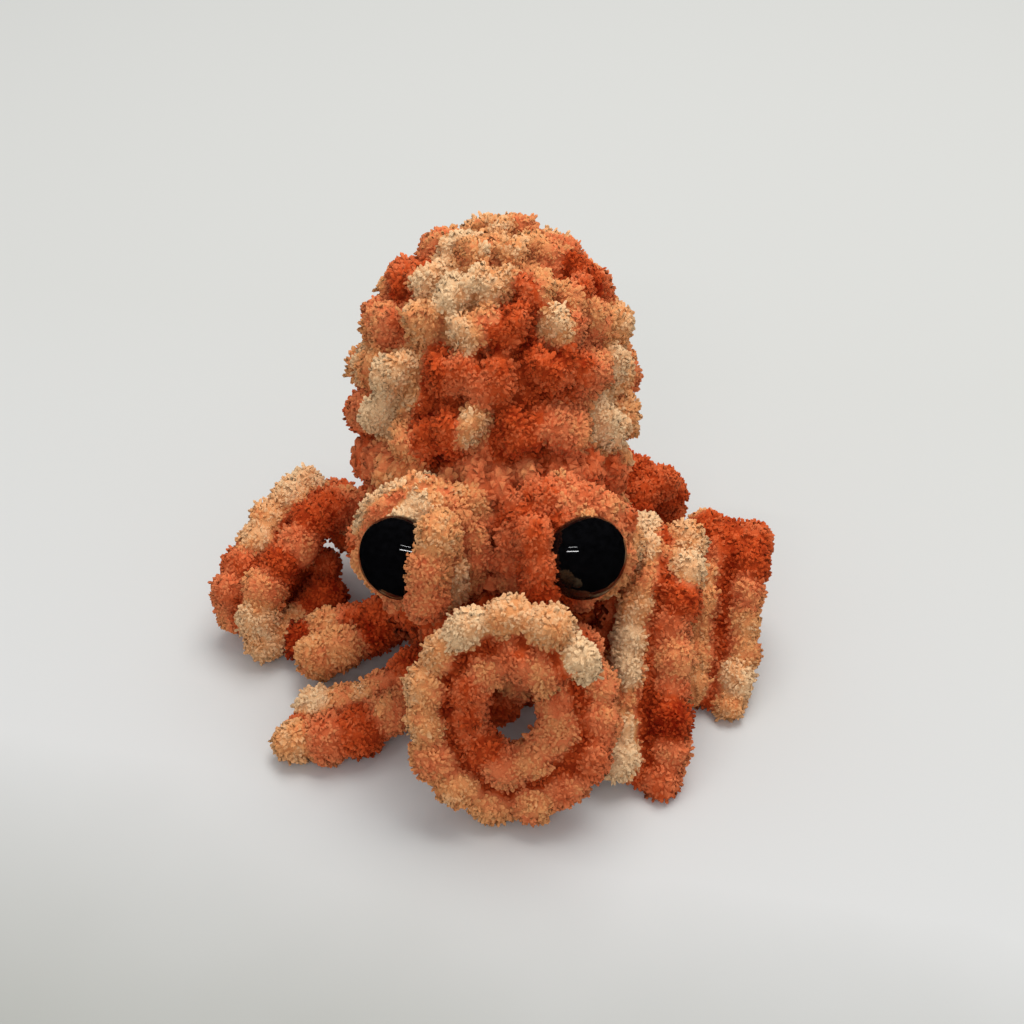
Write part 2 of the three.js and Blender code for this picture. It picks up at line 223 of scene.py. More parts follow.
def floor_material():
    made, shader, place = material("floor", Roughness=0.8)
    split = place.node("ShaderNodeSeparateXYZ", (place,))
    grain = (noise(place, 12.0, detail=4.0) - 0.5) * 0.1
    # Painted shade: the floor darker towards the front and the left, with a faint grain
    backward = split.also(1) * FLOOR_SLOPE[1] + split * FLOOR_SLOPE[0] + FLOOR_START + grain
    feed(shader, "Base Color", ramp(backward.clamped(), FLOOR_SHADE_TONES))
    return made


CHENILLE = chenille_material()
GLOSS = plastic_material("black_gloss", 900.0, [(0.35, "#050506"), (0.8, "#0d0d0f")], 0.02, 0.05,
                         Roughness=0.04, Specular_IOR_Level=0.3, Coat_Weight=0.3, Coat_Roughness=0.02)
WASHER = plastic_material("washer_plastic", 700.0, [(0.3, "#c9c9c9"), (0.7, "#dedede")], 0.35, 0.2,
                          Roughness=0.45)


# Rounded stitches, kept as ellipsoids until they are joined into a skin
class Stitches:
    """A growing list of ellipsoids, each with a dye from 0, cream, to 1, deep red, and a part."""

    def __init__(self):
        self.centres, self.frames, self.dyes, self.parts = [], [], [], []

    def add(self, centre, along, out, radii, dye, part):
        """radii are (along, across, outwards)."""
        along = np.array(along, float)
        along /= np.linalg.norm(along)
        out = np.array(out, float)
        out -= along * out.dot(along)
        out /= np.linalg.norm(out)
        across = np.cross(along, out)
        axes = np.stack([along * radii[0], across * radii[1], out * radii[2]], axis=1)
        self.centres.append(np.array(centre, float))
        self.frames.append(axes)
        self.dyes.append(dye)
        self.parts.append(part)


FLORET_SPREAD, FLORET_SIZES = 0.75, (0.42, 0.6)  # shares of the lump's radii
FLORET_RISE = 0.6  # out of the lump's surface


def add_lump(stitches, rng, centre, along, out, radii, dye, part, florets):
    """A stitch: one rounded lump, and smaller ones that stand a little out of its outer side."""
    stitches.add(centre, along, out, radii, dye, part)
    axes = stitches.frames[-1]
    for _ in range(florets):
        way = np.array([rng.uniform(-FLORET_SPREAD, FLORET_SPREAD),
                        rng.uniform(-FLORET_SPREAD, FLORET_SPREAD), 1.0])
        way /= np.linalg.norm(way)
        size = rng.uniform(*FLORET_SIZES) * min(radii)
        surface = axes @ way
        spot = np.array(centre) + surface - surface / np.linalg.norm(surface) * (size - FLORET_RISE)
        stitches.add(spot, along, out, (size, size, size), dye + rng.normal(0, 0.08), part)


def ring_faces(rings, sides):
    """The faces between rings of points."""
    corners = [(i * sides + k, i * sides + (k + 1) % sides) for i in range(rings - 1) for k in range(sides)]
    return [(a, b, b + sides, a + sides) for a, b in corners]


def vectors(items, key):
    values = np.empty(len(items) * 3, np.float32)
    items.foreach_get(key, values)
    return values.reshape(-1, 3)


def plain_mesh(name, points, faces):
    mesh = bpy.data.meshes.new(name)
    mesh.from_pydata((np.asarray(points) * MM).tolist(), [], np.asarray(faces).tolist())
    mesh.update()
    return mesh


def evaluated(mesh, kind, settings, group_inputs=None):
    """The mesh that a modifier of this kind leaves. group_inputs go to its node group."""
    obj = new_object("working", mesh)
    modifier = obj.modifiers.new(kind, kind)
    for key, value in settings.items():
        setattr(modifier, key, value)
    for key, value in (group_inputs or {}).items():
        modifier[key] = value
    graph = bpy.context.evaluated_depsgraph_get()
    result = bpy.data.meshes.new_from_object(obj.evaluated_get(graph))
    bpy.data.objects.remove(obj)
    return result


SMOOTHING = 0.6  # share that each point takes from its neighbours in one pass


def smoothed(values, faces, passes):
    """Laplacian smoothing, which rounds the voxel steps."""
    pairs = np.array([(f[i], f[(i + 1) % len(f)]) for f in faces for i in range(len(f))])
    for _ in range(passes):
        total = np.zeros_like(values)
        count = np.zeros(len(values))
        np.add.at(total, pairs[:, 0], values[pairs[:, 1]])
        np.add.at(count, pairs[:, 0], 1)
        values = values * (1 - SMOOTHING) + total / count[:, None] * SMOOTHING
    return values


# Every point of a skin has a dye, a part, and a depth in a crease from 0 to 1
Skin = namedtuple("Skin", "points faces dye part crease")

VOXEL = 0.8
SKIN_PASSES, NORMAL_PASSES = 1, 2
CREASE_REACH, CREASE_DEPTH = 14, 0.75  # smoothing passes, and millimetres that count as deep
DYE_NEIGHBOURS, DYE_EDGE = 8, 7  # stitches looked at, and how sharply one dye gives way to the next


def joined_skin(stitches):
    """The points, faces and normals of one voxel surface round all the stitches."""
    bm = bmesh.new()
    bmesh.ops.create_icosphere(bm, subdivisions=3, radius=1.0)
    ball = np.array([v.co[:] for v in bm.verts])
    triangles = np.array([[v.index for v in f.verts] for f in bm.faces])
    bm.free()
    points = [centre + ball @ axes.T for centre, axes in zip(stitches.centres, stitches.frames)]
    faces = [triangles + len(ball) * i for i in range(len(points))]
    mesh = plain_mesh("stitches", np.concatenate(points), np.concatenate(faces))
    joined = evaluated(mesh, "REMESH", {"mode": "VOXEL", "voxel_size": VOXEL * MM})
    points = vectors(joined.vertices, "co").astype(float) / MM
    faces = [tuple(p.vertices) for p in joined.polygons]
    return points, faces, vectors(joined.vertex_normals, "vector").astype(float)


def dyes_and_parts(stitches, points):
    """Each point's dye, blended from the stitches nearest to it, and the part of the nearest."""
    tree = kdtree.KDTree(len(stitches.centres))
    for i, centre in enumerate(stitches.centres):
        tree.insert(centre, i)
    tree.balance()
    inverse = [np.linalg.inv(axes) for axes in stitches.frames]
    dye = np.zeros(len(points))
    part = np.zeros(len(points), int)
    for k, point in enumerate(points):
        near = [i for _, i, _ in tree.find_n(point, DYE_NEIGHBOURS)]
        far = [np.linalg.norm(inverse[i] @ (point - stitches.centres[i])) for i in near]
        weight = np.exp(-DYE_EDGE * (np.array(far) - min(far)))
        dye[k] = weight @ np.array([stitches.dyes[i] for i in near]) / weight.sum()
        part[k] = stitches.parts[near[int(np.argmin(far))]]
    return dye, part


def knit(stitches):
    """One skin over the stitches."""
    points, faces, normals = joined_skin(stitches)
    normals = smoothed(normals, faces, NORMAL_PASSES)
    points = smoothed(points, faces, SKIN_PASSES)
    # How deep each point lies in a crease, where the material paints shade: darker and redder pile
    broad = smoothed(points, faces, CREASE_REACH)
    crease = np.clip(np.sum((broad - points) * normals, axis=1) / CREASE_DEPTH, 0, 1)
    return Skin(points, faces, *dyes_and_parts(stitches, points), crease)


def part_of_skin(skin, part):
    """The faces of one part, as a skin of its own."""
    kept = [f for f in skin.faces if skin.part[f[0]] == part]
    used = sorted({v for f in kept for v in f})
    place = {v: i for i, v in enumerate(used)}
    faces = [tuple(place[v] for v in f) for f in kept]
    return Skin(skin.points[used], faces, skin.dye[used], skin.part[used], skin.crease[used])


# Pile
TUFT_KINDS, TUFT_SIDES = 5, 3
TUFT_RINGS = [(0.0, 0.75), (0.78, 1.0)]  # share of the length, share of the radius
TUFT_LEAN = 0.3  # most that a tip stands aside, as a share of the length
TUFT_SPACING = 0.39
HIDDEN_SPACING = 0.75  # where the arms cover the head
TUFT_DENSITY = 2.5  # points tried for each square of the spacing
TUFT_WIDTH = 2.1  # of the spacing
TUFT_LENGTH = 1.3
UPRIGHT, TUFT_TILT, STRAY = 0.5, 1.4, 0.8  # pull on a tuft: off the skin, out of its curl, by chance
CURL = 0.0024  # metres across one curl of the pile
CURL_EDGE = 1.6  # the hollow round a curl begins at CURL / 1.6 from its middle
CURL_RISE, CURL_MIDDLE = 0.0008, 0.3  # metres from hollow to middle, 0.3 of them outside the skin
SOFTNESS = 0.6  # 1 shades every tuft like the skin under it
MAP_SKIN, MAP_TUFTS, MAP_MARGIN = 0.19, 0.2, 0.08  # top of the skin's map, foot and margin of the tufts'
PILE_SOCKETS = [("Skin", "Geometry"), ("Spacing", "Float"), ("Seed", "Int")]


def tuft_mesh(number):
    """A leaning three-sided tuft of length 1, with its tip values and a round unwrapping."""
    rng = np.random.default_rng(100 + number)
    lean = rng.uniform(-TUFT_LEAN, TUFT_LEAN, 2)
    wide = np.array([rng.uniform(1.0, 1.3), rng.uniform(0.65, 0.85)])
    points, tips, unwrapped = [], [], []
    for height, radius in TUFT_RINGS:
        for k in range(TUFT_SIDES):
            angle = 2 * math.pi * (k + 0.5 * number) / TUFT_SIDES
            flat = np.array([math.cos(angle), math.sin(angle)])
            points.append([*map(float, flat * wide * radius * 0.5 + lean * height ** 2), height])
            tips.append(height)
            unwrapped.append([*(0.5 + 0.5 * flat * (1 - height)), 0.0])
    points.append([*map(float, lean), 1.0])
    tips.append(1.0)
    unwrapped.append([0.5, 0.5, 0.0])
    top = len(points) - 1
    rim = [*range(top - TUFT_SIDES, top), top - TUFT_SIDES]
    faces = ring_faces(len(TUFT_RINGS), TUFT_SIDES) + [(a, b, top) for a, b in zip(rim, rim[1:])]
    mesh = bpy.data.meshes.new(f"tuft_{number}")
    mesh.from_pydata(points, [], faces)
    mesh.attributes.new("tip", "FLOAT", "POINT").data.foreach_set("value", tips)
    inner = mesh.attributes.new("inner", "FLOAT_VECTOR", "POINT")
    inner.data.foreach_set("vector", np.array(unwrapped).ravel())
    mesh.shade_smooth()
    return mesh


def make_tufts():
    group = bpy.data.collections.new("tufts")
    for number in range(TUFT_KINDS):
        mesh = tuft_mesh(number)
        group.objects.link(bpy.data.objects.new(mesh.name, mesh))
    return group


def random_value(seed, series, low, high):
    """A random value for each point. Every series is another one."""
    return seed.node("FunctionNodeRandomValue", {2: low, 3: high, "Seed": seed + series}, out=1,
                     data_type="FLOAT")


def stored(geometry, name, value, kind="FLOAT", domain="POINT"):
    return geometry.node("GeometryNodeStoreNamedAttribute",
                         {"Geometry": geometry, "Name": name, "Value": value},
                         data_type=kind, domain=domain)


def kept_value(geometry, name, kind="FLOAT"):
    return geometry.node("GeometryNodeInputNamedAttribute", {"Name": name}, data_type=kind)


def tuft_rotation(normal, away, seed):
    """Tufts lean out of the middle of their curl and a little by chance, and spin by chance."""
    stray = seed.node("FunctionNodeRandomValue", {0: [-1.0] * 3, 1: [1.0] * 3, "Seed": seed + 2},
                      data_type="FLOAT_VECTOR")
    leaning = normal.scaled(UPRIGHT).vector_math("ADD", away.scaled(TUFT_TILT / CURL))
    way = leaning.vector_math("ADD", stray.scaled(STRAY))
    aligned = way.node("FunctionNodeAlignRotationToVector", {"Vector": way}, axis="Z")
    spin = seed.node("ShaderNodeCombineXYZ", (0.0, 0.0, random_value(seed, 4, 0.0, 2 * math.pi)))
    return aligned.node("FunctionNodeRotateRotation",
                        (aligned, spin.node("FunctionNodeEulerToRotation", (spin,))),
                        rotation_space="LOCAL")


def tuft_map(tufts, side):
    """Where each tuft lies in the map for baking: in its own cell of a square, above the skin."""
    cell = kept_value(tufts, "cell")
    inner = kept_value(tufts, "inner", "FLOAT_VECTOR")
    split = inner.node("ShaderNodeSeparateXYZ", (inner,))
    column = cell.math("MODULO", side)
    row = (cell / side).math("FLOOR")
    inside = 1 - 2 * MAP_MARGIN
    across = (column + split * inside + MAP_MARGIN) / side
    upward = (row + split.also(1) * inside + MAP_MARGIN) / side * (1 - MAP_TUFTS) + MAP_TUFTS
    return cell.node("ShaderNodeCombineXYZ", (across, upward, 0.0))


def pile_tree():
    """Geometry Nodes that cover a skin with tufts and unwrap the result for baking."""
    tree = bpy.data.node_groups.new("pile", "GeometryNodeTree")
    tree.interface.new_socket("Geometry", in_out="OUTPUT", socket_type="NodeSocketGeometry")
    names = {}
    for name, kind in PILE_SOCKETS:
        socket = tree.interface.new_socket(name, in_out="INPUT", socket_type="NodeSocket" + kind)
        names[name] = socket.identifier
    start = Socket(tree, tree.nodes.new("NodeGroupInput").outputs[0])
    skin, spacing, seed = (start.also(i) for i in range(len(PILE_SOCKETS)))

    # Points over the skin, raised in the middle of each curl
    density = spacing.math("POWER", -2.0) * TUFT_DENSITY
    points = skin.node("GeometryNodeDistributePointsOnFaces",
                       {"Mesh": skin, "Distance Min": spacing, "Density Max": density, "Seed": seed},
                       distribute_method="POISSON")
    normal = points.also(1)
    count = points.node("GeometryNodeAttributeDomainSize", {"Geometry": points},
                        component="POINTCLOUD")
    here = points.node("GeometryNodeInputPosition")
    curl = here.node("ShaderNodeTexVoronoi", {"Vector": here, "Scale": 1 / CURL})
    away = here.vector_math("SUBTRACT", curl.also(2))
    hollow = (away.vector_math("LENGTH", out=1) * (CURL_EDGE / CURL)).clamped()
    held = stored(points, "tone", random_value(seed, 1, 0.0, 1.0))
    held = stored(held, "cell", points.node("GeometryNodeInputIndex"))
    # hollow also darkens the pile round each curl as painted shade
    held = stored(held, "hollow", hollow)
    held = stored(held, "out", normal, "FLOAT_VECTOR")
    rise = normal.scaled((hollow * -1.0 + CURL_MIDDLE) * CURL_RISE)
    raised = held.node("GeometryNodeSetPosition", {"Geometry": held, "Offset": rise})

    # A tuft on each point
    girth = spacing * TUFT_WIDTH * random_value(seed, 5, 0.8, 1.25)
    length = random_value(seed, 6, 0.65, 1.3) * (TUFT_LENGTH * MM)
    scale = girth.node("ShaderNodeCombineXYZ", (girth, girth, length))
    chosen = start.node("GeometryNodeCollectionInfo", {"Collection": TUFTS, "Separate Children": True,
                                                       "Reset Children": True})
    placed = raised.node("GeometryNodeInstanceOnPoints",
                         {"Points": raised, "Instance": chosen, "Pick Instance": True,
                          "Rotation": tuft_rotation(normal, away, seed), "Scale": scale})
    real = placed.node("GeometryNodeRealizeInstances", {"Geometry": placed})

    # The maps, then the skin and its tufts in one mesh
    side = count.math("SQRT").math("CEIL")
    above = stored(real, "OFBake", tuft_map(real, side), "FLOAT2", "CORNER")
    under = stored(skin, "OFBake", kept_value(skin, "flat", "FLOAT_VECTOR"), "FLOAT2", "CORNER")
    both = real.node("GeometryNodeJoinGeometry")
    for part in (above, under):
        tree.links.new(part.socket, both.socket.node.inputs[0])
    final = both.node("GeometryNodeSetMaterial", {"Geometry": both, "Material": CHENILLE})
    end = tree.nodes.new("NodeGroupOutput")
    tree.links.new(final.socket, end.inputs[0])
    return tree, names


TUFTS = make_tufts()
PILE, PILE_INPUTS = pile_tree()


def skin_mesh(name, skin):
    """The skin as a mesh, with what the pile and the material need and a flat map for baking."""
    mesh = plain_mesh(name, skin.points, skin.faces)
    count = len(skin.points)
    # The skin under the pile takes the painted shade of the pile's foot: tip 0 and hollow 1
    values = {"dye": skin.dye, "crease": skin.crease, "tip": np.zeros(count),
              "tone": np.full(count, 0.5), "hollow": np.ones(count)}
    for key, value in values.items():
        mesh.attributes.new(key, "FLOAT", "POINT").data.foreach_set("value", value)
    x, y, z = skin.points.T
    angle = np.arctan2(x - x.mean(), y - y.mean()) / (2 * math.pi) + 0.5
    rise = (z - z.min()) / (z.max() - z.min()) * MAP_SKIN
    flat = np.stack([angle, rise, np.zeros(count)], axis=1)
    mesh.attributes.new("flat", "FLOAT_VECTOR", "POINT").data.foreach_set("vector", flat.ravel())
    mesh.shade_smooth()
    return mesh


def soften(mesh):
    """Presses the mesh flat on the floor and turns the tufts' shading normals towards the skin's."""
    place = vectors(mesh.vertices, "co")
    place[:, 2] = np.maximum(place[:, 2], 0)
    mesh.vertices.foreach_set("co", place.ravel())
    own, out = vectors(mesh.vertex_normals, "vector"), vectors(mesh.attributes["out"].data, "vector")
    blend = own * (1 - SOFTNESS) + out * SOFTNESS
    blend /= np.linalg.norm(blend, axis=1)[:, None] + 1e-9
    mesh.normals_split_custom_set_from_vertices(blend)


def piece(name, skin, body, seed, spacing=TUFT_SPACING):
    """The finished mesh of one piece: a skin and its pile, riding on a body."""
    inputs = {PILE_INPUTS["Spacing"]: spacing * MM, PILE_INPUTS["Seed"]: seed}
    result = evaluated(skin_mesh(name, skin), "NODES", {"node_group": PILE}, inputs)
    result.name = name
    soften(result)
    obj = new_object(name, result)
    for leftover in ("inner", "cell", "flat", "out"):
        result.attributes.remove(result.attributes[leftover])
    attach(obj, body)
    return obj


# Head
STRAND = 8.8
BASE_THICKNESS = 8
HEAD_LENGTH, HEAD_RADIUS, HEAD_WIDEST, HEAD_FOOT_RADIUS = 78.4, 27.4, 34, 19.5
HEAD_TAPER, HEAD_DOME = 1.6, 2.15
STITCH_RISE = 1.2  # of the stitches' tops, pile included, above the head's mean surface
HEAD_LEAN = math.radians(28)
HEAD_FOOT = np.array([0.0, 0.0, BASE_THICKNESS])
HEAD_AXIS = np.array([0.0, math.sin(HEAD_LEAN), math.cos(HEAD_LEAN)])
HEAD_FRONT = np.array([0.0, -math.cos(HEAD_LEAN), math.sin(HEAD_LEAN)])
RIGHT = np.array([1.0, 0.0, 0.0])
UP = np.array([0.0, 0.0, 1.0])
CROWN, BROW, BAND, FOOT, LEFT_MOUND, RIGHT_MOUND, BASE = range(7)
PILE_DEPTH = 1.1  # from the skin out to where the pile ends
MERIDIAN_STEPS = 2000


def head_radius(height):
    down = HEAD_LENGTH - height
    if down < HEAD_WIDEST:
        share = (HEAD_WIDEST - down) / HEAD_WIDEST
        return HEAD_RADIUS * math.sqrt(max(0.0, 1 - share ** HEAD_DOME))
    share = (down - HEAD_WIDEST) / (HEAD_LENGTH - HEAD_WIDEST)
    return HEAD_RADIUS - (HEAD_RADIUS - HEAD_FOOT_RADIUS) * share ** HEAD_TAPER


def head_place(height, angle):
    """A point on the head's surface, its outward direction and the direction down the head."""
    outward = HEAD_FRONT * math.cos(angle) + RIGHT * math.sin(angle)
    step = 0.5
    slope = (head_radius(height - step) - head_radius(height + step)) / (2 * step)
    normal = outward + HEAD_AXIS * slope
    normal /= np.linalg.norm(normal)
    down = outward * slope - HEAD_AXIS
    down /= np.linalg.norm(down)
    return HEAD_FOOT + HEAD_AXIS * height + outward * head_radius(height), normal, down


def meridian():
    """Heights down the head from the crown, and how far down its surface each of them is."""
    heights, lengths = [HEAD_LENGTH], [0.0]
    for i in range(1, MERIDIAN_STEPS):
        height = HEAD_LENGTH * (1 - i / MERIDIAN_STEPS)
        run = math.hypot(head_radius(height) - head_radius(heights[-1]), heights[-1] - height)
        heights.append(height)
        lengths.append(lengths[-1] + run)
    return np.array(heights), np.array(lengths)


CROWN_SHIFT = np.array([1.3, 0.0, 0.7])  # how far the soft crown leans aside
HEAD_SHIFT = np.array([-0.6, 0.0, 0.0])  # of every stitch of the head
FILLING = [(0, FOOT), (8, FOOT), (16, FOOT), (24, FOOT), (32, BAND), (40, BAND), (48, BAND), (54, CROWN)]
CORE_DEPTH, CROWN_CORE_DEPTH = 3.3, 4.6  # of the filling under the stitches, below the surface
ROUND_PITCH = 9.4
ROUNDS = [(6, CROWN), (12, CROWN), (16, CROWN), (16, BROW), (16, BAND), (16, BAND)] + [(16, FOOT)] * 4
OVERRUN = 4  # how far past the foot of the head a stitch's middle may lie
LEG = 4.8  # half a leg's length and thickness. Every stitch is a V of two legs
LEG_ASIDE, LEG_WIDTH, LEG_TURN = 0.17, 0.26, 0.4  # shares of the stitch's width, and outwards
CREAM, SAND, TAN, PEACH, SALMON, RUST, BRICK, WINE = 0.0, 0.12, 0.27, 0.4, 0.52, 0.7, 0.82, 0.97

# How the yarn's dye runs along the rounds from the crown, as (stitches, dye)
HEAD_RUNS = [
    (1, TAN), (2, PEACH), (2, TAN), (1, SAND),
    (1, TAN), (2, SALMON), (3, TAN), (2, RUST), (2, SALMON), (1, SAND), (1, TAN),
    (1, SAND), (1, PEACH), (1, SAND), (1, BRICK), (3, SALMON), (3, TAN), (3, PEACH), (1, BRICK),
    (1, SAND), (1, CREAM), (1, RUST), (1, CREAM), (1, PEACH), (1, SAND), (4, TAN), (3, RUST),
    (2, SALMON), (1, TAN), (1, SALMON), (1, TAN),
    (1, RUST), (1, BRICK), (1, RUST), (4, SALMON), (4, RUST), (2, PEACH), (1, SAND), (1, RUST), (1, BRICK),
    (1, RUST), (1, SAND), (2, TAN), (4, SALMON), (3, PEACH), (2, RUST), (1, TAN), (1, RUST), (1, TAN),
    (2, SALMON), (2, RUST), (3, TAN), (4, PEACH), (3, RUST), (2, TAN),
    (3, RUST), (4, SALMON), (4, BRICK), (5, PEACH),
    (4, BRICK), (4, RUST), (4, SALMON), (4, BRICK),
    (8, BRICK), (8, RUST)]

# Where the front of the head shows a dye of its own, as (height, degrees to the right, dye)
HEAD_PATCHES = [
    (75.4, 58, SALMON), (73.6, -37, SAND), (75.9, -12, TAN), (66.7, -32, CREAM), (64.7, -50, BRICK),
    (66.8, -1, SAND), (68.6, 15, RUST), (66.0, 59, BRICK), (66.4, 34, PEACH), (57.4, -28, TAN),
    (56.8, -8, TAN), (59.5, 6, BRICK), (54.5, 9, TAN), (56.1, -55, SALMON), (57.0, 26, CREAM),
    (57.4, 44, SALMON), (52.6, 63, CREAM), (46.3, -48, CREAM), (47.3, -26, RUST), (48.9, -8, RUST),
    (48.3, 13, BRICK), (47.0, 36, RUST), (42.9, 52, RUST), (38.9, -41, TAN), (38.8, -23, BRICK),
    (40.5, -7, TAN), (40.1, 11, BRICK), (39.2, 22, CREAM), (39.9, 34, SALMON), (37.1, 57, CREAM)]
PATCH_REACH, PATCH_SHARE = 6.5, 0.75  # millimetres, and how much of the dye is the patch's
PATCH_SPOTS = np.array([head_place(height, math.radians(turn))[0] for height, turn, _ in HEAD_PATCHES])


def patch_dye(spot, yarn_dye):
    """The dye of the nearest patch, or the yarn's own away from them all."""
    reaches = np.linalg.norm(PATCH_SPOTS - spot, axis=1)
    nearest = int(np.argmin(reaches))
    if reaches[nearest] >= PATCH_REACH:
        return yarn_dye
    return PATCH_SHARE * HEAD_PATCHES[nearest][2] + (1 - PATCH_SHARE) * yarn_dye


def dyes_along(runs):
    return [dye for count, dye in runs for _ in range(count)]


def add_head_stitch(stitches, rng, height, angle, width, dyes, part):
    """The two legs of a stitch. dyes are those of the stitch before it, of itself and of the next."""
    spot, normal, down = head_place(height, angle)
    spot = spot + CROWN_SHIFT * (height / HEAD_LENGTH) ** 2 + HEAD_SHIFT
    sideways = np.cross(normal, down)
    slant = rng.normal(0, 0.2)
    for leg in (-1, 1):
        size = rng.uniform(0.86, 1.12)
        thick = LEG * size
        sink = thick + PILE_DEPTH - STITCH_RISE + rng.uniform(-0.3, 0.8)
        aside = sideways * leg * width * LEG_ASIDE
        centre = spot - normal * sink + aside + down * rng.normal(0, 0.8)
        way = down - sideways * (leg * LEG_TURN + slant)
        radii = (thick, width * LEG_WIDTH * size, thick)
        dye = 0.7 * dyes[1] + 0.3 * dyes[1 + leg]
        dye = patch_dye(spot + aside, dye) + rng.normal(0, 0.07)
        add_lump(stitches, rng, centre, way, normal, radii, dye, part, 3)


def add_head(stitches):
    rng = np.random.default_rng(7)
    heights, lengths = meridian()
    dyes = dyes_along(HEAD_RUNS) + [BRICK]
    yarn = 0
    for k, (count, part) in enumerate(ROUNDS):
        for j in range(count):
            yarn = min(yarn + 1, len(dyes) - 1)
            angle = 2 * math.pi * (j + 0.5 * (k % 2)) / count + rng.normal(0, 0.05)
            fall = ROUND_PITCH * (k + 0.5) + rng.normal(0, 0.9)
            if fall <= lengths[-1] + OVERRUN:
                height = float(np.interp(fall, lengths, heights))
                width = 2 * math.pi * head_radius(height) / count
                near = (dyes[yarn - 2], dyes[yarn - 1], dyes[yarn])
                add_head_stitch(stitches, rng, height, angle, width, near, part)
    for height, part in FILLING:
        radius = head_radius(height) - (CROWN_CORE_DEPTH if part == CROWN else CORE_DEPTH)
        stitches.add(HEAD_FOOT + HEAD_AXIS * height, HEAD_AXIS, RIGHT, (radius, radius, radius), 0.95, part)


# Mounds
MOUND_HALF = np.array([14.2, 12.0, 14.2])
MOUND_SPREAD, MOUND_FORWARD, MOUND_LEVEL = 12.2, 9.0, 37.5
MOUND_ROWS, COLUMN_TURN, ROW_TILT = 9, 0.5, 0.4
MOUND_CORE, MOUND_SINK = 2.4, 2.9  # how far the core and the stitches' middles lie under the pile
MOUND_STITCH = (3.9, 3.0, 3.3)  # half of its length, width and thickness

# Dye down each strand of a mound, from the strand at the viewer's left
LEFT_MOUND_RUNS = [
    [(4, SAND), (5, SALMON)], [(4, SALMON), (5, PEACH)], [(4, CREAM), (5, SALMON)],
    [(4, SAND), (1, TAN), (4, PEACH)], [(2, TAN), (2, PEACH), (2, SAND), (3, PEACH)],
    [(3, PEACH), (2, SALMON), (2, PEACH), (2, TAN)], [(4, TAN), (5, SALMON)]]
RIGHT_MOUND_RUNS = [
    [(3, SALMON), (6, RUST)], [(4, RUST), (5, SALMON)], [(3, RUST), (6, BRICK)],
    [(2, SALMON), (3, RUST), (4, BRICK)], [(3, PEACH), (6, SALMON)],
    [(3, SALMON), (4, PEACH), (2, TAN)], [(4, SALMON), (5, TAN)]]


def mound_middle(side):
    return np.array([side * MOUND_SPREAD, -MOUND_FORWARD, MOUND_LEVEL])


def add_mound(stitches, side, part, runs):
    rng = np.random.default_rng(20 + part)
    middle = mound_middle(side)
    wide, deep, high = MOUND_HALF - PILE_DEPTH - MOUND_CORE
    stitches.add(middle, UP, [0, -1, 0], (high, wide, deep), SALMON, part)
    length, width, thickness = MOUND_STITCH
    for column, strand in enumerate(runs):
        dyes = dyes_along(strand)
        for row in range(MOUND_ROWS):
            turn = (column - len(runs) // 2 + rng.normal(0, 0.08)) * COLUMN_TURN
            tilt = (MOUND_ROWS // 2 - row) * ROW_TILT
            flat = np.array([math.sin(turn), -math.cos(turn), 0.0])
            way = flat * math.cos(tilt) + UP * math.sin(tilt)
            spot = middle + way * (MOUND_HALF - PILE_DEPTH - MOUND_SINK + rng.normal(0, 0.35))
            along = UP * math.cos(tilt) - flat * math.sin(tilt)
            radii = (length, width * max(0.5, math.cos(tilt)), thickness)
            add_lump(stitches, rng, spot, along, way, radii, dyes[row] + rng.normal(0, 0.06), part, 1)


# Yarn that bulges over the rim of an eye, as (across, above, how far out it comes, size, dye) from
# the eye's seat
LEFT_BULGES = [(6.6, 5.4, 5.7, 4.6, TAN), (6.0, 0.2, 6.9, 4.8, PEACH), (6.0, -5.4, 5.7, 4.6, SALMON)]
RIGHT_BULGES = [(-8.4, 5.2, 3.5, 4.0, RUST), (-8.4, 0.6, 4.5, 3.6, RUST), (-8.4, -4.6, 3.7, 4.2, BRICK)]
BULGE_WIDTH = 0.75  # of its size


def add_bulges(stitches, side, part, bulges):
    axis, across, above = eye_frame(side)
    for right, high, out, size, dye in bulges:
        centre = eye_seat(side) + across * right + above * high + axis * (out - size)
        stitches.add(centre, above, axis, (size, size * BULGE_WIDTH, size), dye, part)


# Base
BASE_REACH = 15.5  # where the base's yarn ends, short of the solid's 17.5


def add_base(stitches):
    middle = np.array([0.0, 0.0, BASE_THICKNESS / 2])
    flat = BASE_THICKNESS / 2 - PILE_DEPTH * 0.6
    stitches.add(middle, RIGHT, UP, (BASE_REACH, BASE_REACH, flat), BRICK, BASE)


# Arms
ROOT_RADIUS, ROOT_OUT, ROOT_LEVEL = 6.0, 1.5, 9.5
ARM_CLEARANCE = 0.6  # from the arm's pile to the head or a mound
SKIRT = -12  # height up the head's axis below which arms need not keep clear of it
FLOOR_GAP = 0.9  # from the floor to an arm's skin, for its pile
STRAND_SPREAD, NECK, NECK_LENGTH, TIP_LENGTH = 0.92, 0.5, 1.6, 0.8

